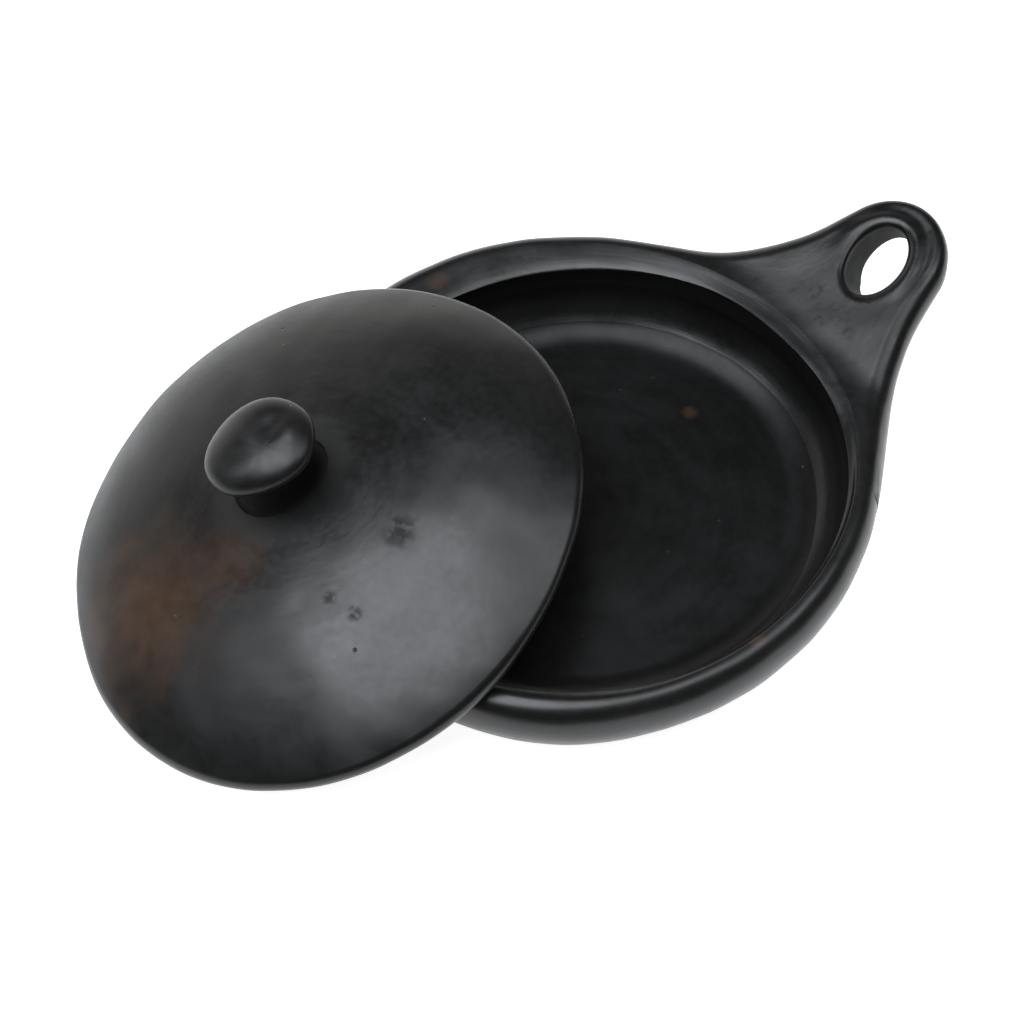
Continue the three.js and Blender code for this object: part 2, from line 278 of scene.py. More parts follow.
def swept_flow(points):
    """Coordinates for polish marks that run round the axis."""
    turn = unit(points * [1, 1, 0])
    distance = np.hypot(points[:, 0], points[:, 1]) + MARK_LEAN * points[:, 2]
    return np.column_stack([turn[:, 0] * MARK_LENGTH, turn[:, 1] * MARK_LENGTH, distance * MM])


def store(mesh, name, vectors):
    layer = mesh.attributes.new(name, "FLOAT_VECTOR", "POINT")
    layer.data.foreach_set("vector", np.asarray(vectors, dtype=np.float32).ravel())


def mesh_object(name, piece, flow=swept_flow, to_world=None, dull_and_shaded_of=None):
    """A smooth Blender object from a piece in mm, shaded with the true normals of its skin."""
    points = np.array(piece.points)
    normals = unit(np.array(piece.normals))
    placed = points * MM
    if to_world is not None:
        lean = np.array(to_world)
        placed = placed @ lean[:3, :3].T + lean[:3, 3]
        normals = normals @ lean[:3, :3].T
    mesh = bpy.data.meshes.new(name)
    mesh.from_pydata(placed.tolist(), [], piece.faces)
    mesh.update()
    mesh.polygons.foreach_set("use_smooth", np.ones(len(mesh.polygons), bool))
    store(mesh, "place", points * MM)
    store(mesh, "flow", flow(points))
    # where this is high the clay is rougher and painted dark as shade
    unpolished_and_shaded = np.zeros(len(points)) if dull_and_shaded_of is None else dull_and_shaded_of(points)
    mesh.attributes.new("unpolished_and_shaded", "FLOAT", "POINT").data.foreach_set("value", unpolished_and_shaded)
    mesh.normals_split_custom_set_from_vertices(normals.tolist())
    made = bpy.data.objects.new(name, mesh)
    bpy.context.scene.collection.objects.link(made)
    return made


def ring_piece(skin, normals, runs, closed_loop):
    """A piece from runs of skin rows, in order round its section. Ends on the axis get a fan."""
    piece = PieceMesh()
    rings = []
    for first, last in runs:
        for row in range(first, last + 1):
            rings.append(piece.add_ring(skin[row], normals[row]))
    for ring_a, ring_b in zip(rings, rings[1:]):
        piece.bridge(ring_a, ring_b)
    if closed_loop:
        piece.bridge(rings[-1], rings[0])
    else:
        first_row = runs[0][0]
        last_row = runs[-1][1]
        piece.fan(rings[0], skin[first_row].mean(axis=0), unit(normals[first_row].mean(axis=0)), True)
        piece.fan(rings[-1], skin[last_row].mean(axis=0), unit(normals[last_row].mean(axis=0)), False)
    return piece


# ---- the pan's shape ------------------------------------------------------------------------
BELT = BELLY_RADIUS - BASE_RADIUS
COVE_TOP = FLOOR_TOP + COVE_RADIUS
HUB_RADIUS = 1.5


def inner_radius(height):
    wall = FLOOR_RADIUS + COVE_RADIUS
    along = (height - COVE_TOP) / (PAN_HEIGHT - COVE_TOP)
    return wall + WALL_UNDERCUT * np.sin(np.pi * along)


def inner_run(low, high, steps):
    heights = np.linspace(low, high, steps + 1)
    return np.column_stack([inner_radius(heights), heights])


def pan_profile():
    """(radius, height) rows from the middle of the floor, over the rim, to the middle of the base.

    Returns the rows and the row numbers of the seams between the pieces.
    """
    slab_angle = -math.degrees(math.asin((COVE_TOP - SLAB_SEAM_HEIGHT) / COVE_RADIUS))
    belly_slab = -math.degrees(math.asin((BELLY_HEIGHT - SLAB_SEAM_HEIGHT) / BELLY_HEIGHT))
    belly_rim = -math.degrees(math.asin((BELLY_HEIGHT - RIM_SEAM_OUTSIDE) / BELLY_HEIGHT))
    edge_angle = 120
    crown_foot = PAN_HEIGHT - RIM_CROWN_DROP
    edge_low = crown_foot - RIM_EDGE_ROUND * math.sin(math.radians(edge_angle))
    edge_width = (RIM_TOP_INNER - inner_radius(edge_low)) / (1 + math.cos(math.radians(edge_angle)))
    edge_centre = (inner_radius(edge_low) + edge_width, edge_low)
    crown_share = np.linspace(1, 0, 9)
    crown = np.column_stack([RIM_TOP_OUTER - (RIM_TOP_OUTER - RIM_TOP_INNER) * crown_share,
                             PAN_HEIGHT - RIM_CROWN_DROP * crown_share**RIM_CROWN_POWER])
    cove = (FLOOR_RADIUS, COVE_TOP)
    belly = (BASE_RADIUS, BELLY_HEIGHT)
    belly_half = (BELT, BELLY_HEIGHT)
    rim_half = (BELLY_RADIUS - RIM_TOP_OUTER, PAN_HEIGHT - BELLY_HEIGHT)
    runs = [
        joined(
            straight((HUB_RADIUS, FLOOR_TOP), (FLOOR_RADIUS - 2, FLOOR_TOP), 40),
            straight((FLOOR_RADIUS - 2, FLOOR_TOP), (FLOOR_RADIUS, FLOOR_TOP), 1),
            arc(cove, (COVE_RADIUS, COVE_RADIUS), -90, slab_angle, 12),
        ),
        joined(
            arc(cove, (COVE_RADIUS, COVE_RADIUS), slab_angle, 0, 10),
            inner_run(COVE_TOP, RIM_SEAM_INSIDE, 1),
        ),
        joined(
            inner_run(RIM_SEAM_INSIDE, edge_low, 10),
            arc(edge_centre, (edge_width, RIM_EDGE_ROUND), 180, edge_angle, 7),
            crown,
            arc((RIM_TOP_OUTER, BELLY_HEIGHT), rim_half, 90, 0, 16),
            arc(belly, belly_half, 0, belly_rim, 4),
        ),
        arc(belly, belly_half, belly_rim, belly_slab, 14),
        joined(
            arc(belly, belly_half, belly_slab, -90, 22),
            straight((BASE_RADIUS, 0), (HUB_RADIUS, 0), 20),
        ),
    ]
    seams = np.cumsum([len(run) - 1 for run in runs]).tolist()
    return joined(*runs), seams


def out_of_round(azimuth, amount, long_axis):
    return 1 + amount * np.cos(2 * (azimuth - long_axis))


def outside_stretch(azimuth):
    lobes = OUTSIDE_LOBES * np.cos(3 * (azimuth - OUTSIDE_LOBE_AXIS))
    return out_of_round(azimuth, OUTSIDE_OUT_OF_ROUND, PAN_LONG_AXIS) + lobes


def outside_weight(profile):
    """0 on the pan's inside, 1 on its outside, changing over across the rim's top."""
    crest = np.argmax(profile[:, 1] >= PAN_HEIGHT - 1e-6)
    across = smoothstep(RIM_TOP_INNER, RIM_TOP_OUTER, profile[:, 0])
    return np.where(np.arange(len(profile)) > crest, 1.0, across)


def signed_turn(azimuth):
    """Angle away from the handle, between -pi and pi."""
    return (azimuth - HANDLE_AZIMUTH + np.pi) % (2 * np.pi) - np.pi


def pan_skin():
    """The pan's whole skin as rows by columns of points, with the seam rows."""
    profile, seams = pan_profile()
    azimuth = np.linspace(0, 2 * np.pi, PAN_COLUMNS, endpoint=False)
    outside = outside_weight(profile)[:, None]
    radius, height = profile[:, :1], profile[:, 1:]
    pressed = RIM_FLAT_DEPTH * np.exp(-((signed_turn(azimuth) / RIM_FLAT_WIDTH) ** 2))
    press_start = COVE_TOP - RIM_FLAT_FADE[0]
    press_full = PAN_HEIGHT - RIM_FLAT_FADE[1]
    near_rim = smoothstep(press_start, press_full, height) * (1 - outside)
    inside_stretch = out_of_round(azimuth, INSIDE_OUT_OF_ROUND, PAN_LONG_AXIS)
    stretch = inside_stretch * (1 - outside) + outside_stretch(azimuth) * outside
    stretched = radius * stretch - pressed * near_rim
    x = stretched * np.cos(azimuth) + INSIDE_SHIFT[0] * (1 - outside)
    y = stretched * np.sin(azimuth) + INSIDE_SHIFT[1] * (1 - outside) + OUTSIDE_SHIFT_Y * outside
    beside_handle = np.exp(-((signed_turn(azimuth) / CROWN_FLAT_WIDTH) ** 2))
    fall = PAN_HEIGHT - height
    crown = smoothstep(*CROWN_FLAT_DEPTHS, fall) * fall
    raised = height + CROWN_FLATTENING * crown * (1 - outside) * beside_handle
    return np.stack([x, y, raised], axis=-1), seams


# ---- the handle's shape, as a field that is zero on its skin -----------------------------------
def smooth_union(first, second, reach):
    mix = np.clip(0.5 + 0.5 * (second - first) / reach, 0, 1)
    return second * (1 - mix) + first * mix - reach * mix * (1 - mix)


def round_place(points):
    """Azimuth about the pan's outside, and distance from its axis with the out-of-round taken out."""
    y = points[..., 1] - OUTSIDE_SHIFT_Y
    azimuth = np.arctan2(y, points[..., 0])
    radius = np.hypot(points[..., 0], y) / outside_stretch(azimuth)
    return azimuth, radius


def outside_place(azimuth, radius):
    """The plan position with that azimuth and rounded-out radius on the pan's outside."""
    reach = radius * outside_stretch(azimuth)
    return np.stack([reach * np.cos(azimuth), reach * np.sin(azimuth) + OUTSIDE_SHIFT_Y], axis=-1)


def ellipse_distance(u, v, half_u, half_v):
    size = np.maximum(np.hypot(u / half_u, v / half_v), 1e-6)
    slope = np.hypot(u / half_u**2, v / half_v**2) / size
    return (size - 1) / np.maximum(slope, 1e-6)


def pan_field(points):
    """Distance outside the pan's outer shape, taken as if it were solid."""
    radius = round_place(points)[1]
    height = points[..., 2] - BELLY_HEIGHT
    over = ellipse_distance(np.maximum(radius - RIM_TOP_OUTER, 0), height,
                            BELLY_RADIUS - RIM_TOP_OUTER, PAN_HEIGHT - BELLY_HEIGHT)
    under = ellipse_distance(np.maximum(radius - BASE_RADIUS, 0), height, BELT, BELLY_HEIGHT)
    return np.where(height > 0, over, under)


def handle_frame(points):
    """Coordinates along and across the handle."""
    along = points[..., 0] * math.cos(HANDLE_AZIMUTH) + points[..., 1] * math.sin(HANDLE_AZIMUTH)
    across = -points[..., 0] * math.sin(HANDLE_AZIMUTH) + points[..., 1] * math.cos(HANDLE_AZIMUTH)
    return along, across


def from_handle_frame(plan, height):
    """Points from (along, across) pairs and heights."""
    x = plan[..., 0] * math.cos(HANDLE_AZIMUTH) - plan[..., 1] * math.sin(HANDLE_AZIMUTH)
    y = plan[..., 0] * math.sin(HANDLE_AZIMUTH) + plan[..., 1] * math.cos(HANDLE_AZIMUTH)
    return np.stack([x, y, np.broadcast_to(height, x.shape)], axis=-1)


def handle_rise(along):
    past = np.maximum(0, along - HANDLE_RISE_START)
    curved = HANDLE_RISE_SLOPE * past * past / (2 * HANDLE_RISE_BLEND)
    straight_part = HANDLE_RISE_SLOPE * (past - HANDLE_RISE_BLEND / 2)
    return np.where(past < HANDLE_RISE_BLEND, curved, straight_part)


def edge_size(along):
    """Width and drop of the rounded upper edge, from the rim's to the handle's own."""
    share = smoothstep(*HANDLE_EDGE_CHANGE, along)
    return [rim + (own - rim) * share for rim, own in zip(RIM_EDGE, HANDLE_EDGE)]


def bend(along):
    return HANDLE_BEND * np.maximum(0, along - HANDLE_BEND_START) ** 2


def bar_distance(along, across):
    """Distance outside the tapered bar with a round tip, in plan."""
    across = across - bend(along)
    past_tip = along - HANDLE_TIP_CENTRE
    tip = np.hypot(past_tip, across) - HANDLE_TIP_RADIUS
    steep = math.hypot(1, HANDLE_TAPER)
    side = (np.abs(across) + HANDLE_TAPER * past_tip) / steep - HANDLE_TIP_RADIUS
    return np.where(past_tip > HANDLE_TAPER * np.abs(across), tip, side)


def plan_distance(points):
    """Distance outside the pan and handle seen from above, their meeting broadly filleted."""
    radius = round_place(points)[1]
    return smooth_union(bar_distance(*handle_frame(points)), radius - BELLY_RADIUS, HANDLE_FLANK_FILLET)


def hole_distance(along, across, depth):
    """Distance outside the leaning, narrowing hole at a depth under the handle's top."""
    depth = np.clip(depth, -2, HANDLE_THICKNESS + 2)
    offset_along = along - HOLE_CENTRE[0] - HOLE_LEAN[0] * depth
    offset_across = across - HOLE_CENTRE[1] - HOLE_LEAN[1] * depth
    lengthways = offset_along * math.cos(HOLE_TURN) + offset_across * math.sin(HOLE_TURN)
    sideways = offset_across * math.cos(HOLE_TURN) - offset_along * math.sin(HOLE_TURN)
    half_long = HOLE_HALF[0] - HOLE_NARROWING[0] * depth
    half_short = HOLE_HALF[1] - HOLE_NARROWING[1] * depth
    return ellipse_distance(lengthways, sideways, half_long, half_short)


def handle_field(points):
    """Distance outside the handle: a rounded, bored slab that flows out of the rim."""
    along, across = handle_frame(points)
    depth = PAN_HEIGHT + handle_rise(along) - points[..., 2]
    at_top = hole_distance(along, across, 0.0)
    towards_tip = smoothstep(*RIDGE_SPAN, along)
    ridge = RIDGE_HEIGHT * np.exp(-(((at_top - RIDGE_FROM_HOLE) / RIDGE_WIDTH) ** 2)) * towards_tip
    groove = GROOVE_DEPTH * np.exp(-(((at_top - GROOVE_FROM_HOLE) / GROOVE_WIDTH) ** 2)) * towards_tip
    edge_width, edge_drop = edge_size(along)
    level = edge_drop - depth
    inset = np.maximum(plan_distance(points) + edge_width, 0)
    over = ellipse_distance(inset, level, edge_width, edge_drop + ridge - groove)
    under = ellipse_distance(inset, level, edge_width, HANDLE_THICKNESS - edge_drop)
    turn = np.abs(signed_turn(round_place(points)[0]))
    reach = UNDERSIDE_FILLET * smoothstep(*UNDERSIDE_FILLET_TURN, turn)
    reach = np.maximum(reach * smoothstep(0, UNDERSIDE_FILLET_ONSET, -level), 0.01)
    solid = np.where(level > 0, over, smooth_union(under, pan_field(points), reach))
    round_hole = np.arctan2(across - HOLE_CENTRE[1], along - HOLE_CENTRE[0]) - HOLE_CRISP_SIDE
    crisp, soft = HOLE_ARRIS_ROUND
    arris = crisp + (soft - crisp) * (1 - np.cos(round_hole)) / 2
    return -smooth_union(-solid, hole_distance(along, across, depth), arris)


def field_slope(field, points, step=0.05):
    slope = np.empty_like(points)
    for axis in range(3):
        shift = np.zeros(3)
        shift[axis] = step
        slope[..., axis] = (field(points + shift) - field(points - shift)) / (2 * step)
    return slope


def settle_on(field, points, rounds=16, level=False):
    """Moves points along the field's slope until they lie on its skin."""
    for _ in range(rounds):
        slope = field_slope(field, points)
        if level:
            slope[..., 2] = 0
        steep = np.maximum(np.sum(slope**2, axis=-1), 0.05)
        points = points - np.clip(field(points) / steep, -3, 3)[..., None] * slope
    return points


# Where the first guess at the handle's outline has its tails, its sides and its tip.
OUTLINE_TAIL_TURN = math.radians(22)
OUTLINE_SIDE_START = 122.0
OUTLINE_HALF_WIDTH = 27.8
OUTLINE_TIP_TURN = math.radians(75)


def root_bow(turn):
    """1 along the handle's root, falling to 0 where the root's upper and lower ends meet."""
    return np.sqrt(1 - np.minimum(np.abs(turn / ROOT_HALF_ANGLE), 1) ** 8)


def belly_under_height(radius):
    share = np.clip((radius - BASE_RADIUS) / BELT, 0, 1)
    return BELLY_HEIGHT * (1 - np.sqrt(1 - share**2))


def free_outline():
    """The handle's plan outline from one tail, round the tip, to the other, evenly spaced."""
    turn = np.linspace(ROOT_HALF_ANGLE, OUTLINE_TAIL_TURN, 50)
    tail = outside_place(HANDLE_AZIMUTH + turn, BELLY_RADIUS)
    other_tail = outside_place(HANDLE_AZIMUTH - turn[::-1], BELLY_RADIUS)
    along = np.linspace(OUTLINE_SIDE_START, HANDLE_TIP_CENTRE, 40)
    half_width = OUTLINE_HALF_WIDTH + HANDLE_TAPER * (HANDLE_TIP_CENTRE - along)
    side = np.column_stack([along, half_width])
    other_side = np.column_stack([along, -half_width])[::-1]
    angle = np.linspace(OUTLINE_TIP_TURN, -OUTLINE_TIP_TURN, 80)
    tip = np.column_stack([HANDLE_TIP_CENTRE + HANDLE_TIP_RADIUS * np.cos(angle),
                           HANDLE_TIP_RADIUS * np.sin(angle)])
    round_tip = from_handle_frame(np.vstack([side, tip, other_side]), 0)[:, :2]
    plan = np.vstack([tail, round_tip, other_tail])
    flat = settle_on(plan_distance, np.column_stack([plan, np.zeros(len(plan))]), level=True)
    travelled = np.concatenate([[0], np.cumsum(np.linalg.norm(np.diff(flat, axis=0), axis=1))])
    even = np.linspace(0, travelled[-1], FREE_COLUMNS)
    return np.column_stack([np.interp(even, travelled, flat[:, i]) for i in range(3)])


def hole_ring(turn, depth):
    """Points round the hole's wall at a depth under the handle's top."""
    half = HOLE_HALF - HOLE_NARROWING * depth
    lengthways = half[0] * np.cos(turn - HOLE_TURN)
    sideways = half[1] * np.sin(turn - HOLE_TURN)
    oval = np.column_stack([lengthways * math.cos(HOLE_TURN) - sideways * math.sin(HOLE_TURN),
                            lengthways * math.sin(HOLE_TURN) + sideways * math.cos(HOLE_TURN)])
    plan = HOLE_CENTRE + HOLE_LEAN * depth + oval
    return from_handle_frame(plan, PAN_HEIGHT + handle_rise(plan[:, 0]) - depth)


def sheet(start, finish, rows, height_of=None):
    """Rows of points evenly from one ring to another, lifted to a height function if one is given."""
    share = np.linspace(0, 1, rows + 1)[:, None, None]
    points = start + (finish - start) * share
    if height_of is not None:
        points[..., 2] = height_of(points)
    return points


def top_height(points):
    """A first guess at the handle's top, rounding down to its widest line at the outline."""
    along = handle_frame(points)[0]
    edge_width, edge_drop = edge_size(along)
    inset = np.clip(plan_distance(points) / edge_width + 1, 0, 1)
    return PAN_HEIGHT + handle_rise(along) - edge_drop * (1 - np.sqrt(1 - inset**2))


def under_height(points):
    """A first guess at the underside: the handle's, or the pan's belly where that hangs lower."""
    along = handle_frame(points)[0]
    edge_width, edge_drop = edge_size(along)
    inset = np.clip(plan_distance(points) / edge_width + 1, 0, 1)
    hang = HANDLE_THICKNESS - edge_drop
    own = PAN_HEIGHT + handle_rise(along) - edge_drop - hang * np.sqrt(1 - inset**2)
    radius = round_place(points)[1]
    return np.minimum(own, np.where(radius < BELLY_RADIUS, belly_under_height(radius), own))


def handle_rings():
    """Rings round the handle's section: root and outline, top, hole, underside, outline and root."""
    free = free_outline()
    along = handle_frame(free)[0]
    free[:, 2] = PAN_HEIGHT + handle_rise(along) - edge_size(along)[1]
    turn = np.linspace(-ROOT_HALF_ANGLE, ROOT_HALF_ANGLE, ROOT_COLUMNS + 2)[1:-1]
    bow = root_bow(turn)
    ends = {}
    for side, radius in (("top", ROOT_TOP_RADIUS), ("low", ROOT_LOW_RADIUS)):
        reach = BELLY_RADIUS - (BELLY_RADIUS - radius) * bow
        plan = outside_place(HANDLE_AZIMUTH + turn, reach)
        rooted = np.column_stack([plan, np.zeros(len(plan))])
        rooted[:, 2] = top_height(rooted) if side == "top" else belly_under_height(reach)
        ends[side] = np.vstack([free, settle_on(pan_field, rooted)])
    free_turn = np.linspace(THROAT_TURN, -THROAT_TURN, FREE_COLUMNS)
    root_turn = np.linspace(-THROAT_TURN, THROAT_TURN - 2 * np.pi, ROOT_COLUMNS + 2)[1:-1]
    throat_turn = np.concatenate([free_turn, root_turn])
    arris = hole_ring(throat_turn, 0.0)
    throat = hole_ring(throat_turn, HANDLE_THICKNESS / 2)
    low_arris = hole_ring(throat_turn, HANDLE_THICKNESS)
    parts = [
        sheet(ends["top"], arris, SHEET_ROWS, top_height),
        sheet(arris, throat, WALL_ROWS // 2)[1:],
        sheet(throat, low_arris, WALL_ROWS // 2)[1:],
        sheet(low_arris, ends["low"], SHEET_ROWS, under_height)[1:],
    ]
    rings = settle_on(handle_field, np.vstack(parts))
    rings[0] = ends["top"]
    rings[-1] = ends["low"]
    return rings


def handle_piece():
    """The handle as one closed mesh: a ring of clay round the hole whose root spreads over the pan."""
    rings = handle_rings()
    slope = unit(field_slope(handle_field, rings))

    def relief(points):
        return relief_of(points, PAN_WAVES)

    tilt = field_slope(relief, rings, step=0.2)
    tilt -= np.sum(tilt * slope, axis=-1)[..., None] * slope
    normals = unit(slope - tilt)
    rings = rings + slope * relief(rings)[..., None]
    piece = PieceMesh()
    numbers = [piece.add_ring(ring, normal) for ring, normal in zip(rings[:-1], normals[:-1])]
    rooted = piece.add_ring(rings[-1, FREE_COLUMNS:], normals[-1, FREE_COLUMNS:])
    numbers.append(numbers[0][:FREE_COLUMNS] + rooted)
    for ring_a, ring_b in zip(numbers, numbers[1:]):
        piece.bridge(ring_a, ring_b)
    close_root(piece, rings, numbers)
    return piece


MARK_SPREAD = 0.012
MARK_SPREAD_START = 145.0  # nearer the pan than this, the marks spread out with the root


def handle_flow(points):
    """Coordinates for polish marks that follow the handle out of the rim."""
    along, across = handle_frame(points)
    width = HANDLE_TIP_RADIUS + HANDLE_TAPER * (HANDLE_TIP_CENTRE - along)
    width = width + MARK_SPREAD * np.maximum(0, MARK_SPREAD_START - along) ** 2
    spread = across * HANDLE_TIP_RADIUS / width
    return np.column_stack([along * MM * HANDLE_MARK_LENGTH, points[:, 2] * MM, spread * MM])


def down_the_hole(points):
    """1 on the wall of the hole, 0 on the handle's open faces: rougher there, as no pebble can polish
    it, and painted dark as shade down the hole.
    """
    along, across = handle_frame(points)
    depth = PAN_HEIGHT + handle_rise(along) - points[:, 2]
    from_wall = hole_distance(along, across, depth)
    return smoothstep(2.5, 0.3, from_wall) * smoothstep(1.0, 4.0, depth)


def close_root(piece, rings, numbers):
    """The hidden luted face of the handle, inside the pan's wall."""
    columns = [k % rings.shape[1] for k in range(FREE_COLUMNS - 1, rings.shape[1] + 1)]
    inner = {}  # the number of the middle point at each column
    for k in columns[1:-1]:
        middle = (rings[0, k] + rings[-1, k]) / 2
        out = unit(middle * [1, 1, 0])
        inner[k] = len(piece.points)
        piece.points.append(tuple(middle - ROOT_INSET * out))
        piece.normals.append(tuple(-out))
    for a, b in zip(columns, columns[1:]):
        hidden = [inner[k] for k in (b, a) if k in inner]
        piece.faces.append(tuple([numbers[0][a], numbers[0][b]] + hidden))
        piece.faces.append(tuple(([numbers[-1][a], numbers[-1][b]] + hidden)[::-1]))


def tuck_under_handle(skin, normals, outside):
    """Sinks the pan's skin a little where the handle's root covers it."""
    azimuth, radius = round_place(skin)
    turn = signed_turn(azimuth)
    bow = root_bow(turn)
    upper = skin[..., 2] > BELLY_HEIGHT
    root_radius = BELLY_RADIUS - (BELLY_RADIUS - np.where(upper, ROOT_TOP_RADIUS, ROOT_LOW_RADIUS)) * bow
    from_end = radius - root_radius
    from_side = (ROOT_HALF_ANGLE - np.abs(turn)) * BELLY_RADIUS
    covered = np.minimum(from_end, from_side)
    sink = TUCK_DEPTH * smoothstep(*TUCK_FADE, covered) * (outside > 0)
    return skin - normals * sink[..., None]


# ---- the lid's shape, in its own frame --------------------------------------------------------
EDGE_TOP_RADIUS = LID_EDGE_CENTRE_RADIUS + LID_EDGE_ROUND * math.cos(math.radians(EDGE_TOP_ANGLE))
EDGE_TOP_HEIGHT = LID_EDGE_ROUND * math.sin(math.radians(EDGE_TOP_ANGLE))


def lid_outer(radius):
    share = radius / EDGE_TOP_RADIUS
    fall = (1 - SHOULDER) * share**2 + SHOULDER * share**6
    return LID_CROWN_HEIGHT - (LID_CROWN_HEIGHT - EDGE_TOP_HEIGHT) * fall


def lid_inner(radius):
    inner_edge = LID_EDGE_CENTRE_RADIUS - LID_EDGE_ROUND
    return (LID_CROWN_HEIGHT - LID_THICKNESS) * (1 - (radius / inner_edge) ** 2)


def lid_run(height_of, start, end, steps):
    radii = np.linspace(start, end, steps + 1)
    return np.column_stack([radii, height_of(radii)])


def lid_profile():
    """(radius, height) rows from the crown, over the edge, to the middle of the underside."""
    centre = (LID_EDGE_CENTRE_RADIUS, 0.0)
    half = (LID_EDGE_ROUND, LID_EDGE_ROUND)
    lower = arc(centre, half, EDGE_TOP_ANGLE, EDGE_UNDER_ANGLE, 26)
    runs = [
        lid_run(lid_outer, HUB_RADIUS, LID_SEAM_RADIUS, 46),
        joined(
            lid_run(lid_outer, LID_SEAM_RADIUS, EDGE_TOP_RADIUS, 5),
            lower,
            np.array([lower[-1], (LID_SEAM_RADIUS, lid_inner(LID_SEAM_RADIUS))]),
        ),
        lid_run(lid_inner, LID_SEAM_RADIUS, HUB_RADIUS, 40),
    ]
    seams = np.cumsum([len(run) - 1 for run in runs]).tolist()
    return joined(*runs), seams


def swept(profile, columns, amount=0.0, long_axis=0.0, wobble=()):
    azimuth = np.linspace(0, 2 * np.pi, columns, endpoint=False)
    stretch = out_of_round(azimuth, amount, long_axis)
    for lobes, size, phase in wobble:
        stretch = stretch + size * np.cos(lobes * azimuth - phase)
    radius = profile[:, :1] * stretch
    height = np.broadcast_to(profile[:, 1:], radius.shape)
    return np.stack([radius * np.cos(azimuth), radius * np.sin(azimuth), height], axis=-1)


def knob_profile():
    """(radius, height) rows of the knob, from the top of its cap down to under its foot."""
    cap = arc((0, CAP_CENTRE), (CAP_RADIUS, CAP_HALF_HEIGHT), CAP_TOP_ANGLE, CAP_UNDERSIDE_ANGLE, 40)
    radius = np.append(np.linspace(NECK_RADIUS, NECK_FOOT_RADIUS - 0.05, 27), NECK_FOOT_RADIUS)
    share = (NECK_FOOT_RADIUS - radius) / (NECK_FOOT_RADIUS - NECK_RADIUS)
    flare_height = lid_outer(radius) + NECK_FOOT_RISE + NECK_FLARE_HEIGHT * share**NECK_FLARE_POWER
    flare = np.column_stack([radius, flare_height])
    under_foot = (NECK_FOOT_RADIUS + 0.4, lid_outer(NECK_FOOT_RADIUS) - 0.5)
    runs = [
        joined(cap, straight(cap[-1], (NECK_RADIUS, NECK_TOP), 3)),
        joined(
            straight((NECK_RADIUS, NECK_TOP), flare[0], 5),
            flare,
            straight(flare[-1], under_foot, 2),
            straight(under_foot, (HUB_RADIUS, LID_CROWN_HEIGHT - 1.5), 3),
        ),
    ]
    seams = np.cumsum([len(run) - 1 for run in runs]).tolist()
    return joined(*runs), seams


BESIDE_NECK = (33.0, 20.0)  # from the neck's axis, where the dull patch of painted shade starts and is full
# how rough the patch gets, and how far it is painted dark as shade
NECK_DULLNESS_AND_SHADE = 0.6


def round_the_neck(points):
    """Most on the neck and the dome beside it, and 0 away from them: rougher there, where a pebble
    hardly reaches, and painted dark as the shade under the cap.
    """
    foot = KNOB_OFFSET - NECK_LEAN
    away = np.hypot(points[:, 0] - foot[0], points[:, 1] - foot[1])
    below_cap = smoothstep(CAP_CENTRE - 2, NECK_TOP, points[:, 2])
    return NECK_DULLNESS_AND_SHADE * smoothstep(*BESIDE_NECK, away) * below_cap


def corners_of(node):
    """The corners of a CAD node's mesh."""
    return np.array([tuple(vertex.co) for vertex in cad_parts[node].data.vertices])


def lid_frame():
    """Where the CAD's lid lies: its edge gives its middle and its axis, its crown gives its height."""
    edge = corners_of("lid_edge")
    middle = edge.mean(axis=0)
    axis = np.linalg.svd(edge - middle, full_matrices=False)[2][2]
    axis = axis * np.sign(axis[2])
    crown = np.max((corners_of("lid_dome") - middle) @ axis)
    centre = middle + axis * (crown - LID_CROWN_HEIGHT * MM)
    lean = Vector((0, 0, 1)).rotation_difference(Vector(axis))
    return Matrix.Translation(Vector(centre)) @ lean.to_matrix().to_4x4()


# ---- materials --------------------------------------------------------------------------------
BLACK = (0.004, 0.004, 0.004, 1)
CHARCOAL = (0.008, 0.008, 0.008, 1)
DULL_BLACK = (0.005, 0.005, 0.005, 1)
# near black: real soot stains, and also painted shade in the unpolished hollows
SOOT_AND_SHADE = (0.002, 0.002, 0.002, 1)
GRIT = (0.22, 0.20, 0.18, 1)
BROWN = (0.050, 0.024, 0.011, 1)
RUST = (0.11, 0.055, 0.028, 1)

# Smoke blushes have a place, a reach, a tint and a strength; matt stains have a place and a reach.
# Places and reaches are in metres, in the pan's frame or the lid's own.
PAN_BLUSHES = (
    ((-0.054, 0.094, 0.040), 0.007, RUST, 0.3),
    ((0.062, -0.081, 0.040), 0.0045, RUST, 0.35),
    ((0.092, -0.064, 0.040), 0.0035, RUST, 0.35),
)
PAN_STAINS = (
    ((0.101, 0.079, 0.0445), 0.0065),
    ((0.102, 0.065, 0.0425), 0.0048),
    ((0.113, 0.057, 0.0435), 0.0042),
)
INSIDE_BLUSHES = (((0.050, 0.045, 0.008), 0.0045, RUST, 0.3),)
LID_BLUSHES = (
    ((-0.064, -0.034, 0.014), 0.046, BROWN, 0.9),
    ((-0.026, -0.024, 0.023), 0.022, BROWN, 0.5),
)
LID_STAINS = (
    ((0.040, -0.023, 0.021), 0.010),
    ((0.022, -0.053, 0.019), 0.0045),
    ((0.013, -0.046, 0.021), 0.0040),
)
BUMP_HEIGHT = 0.0002


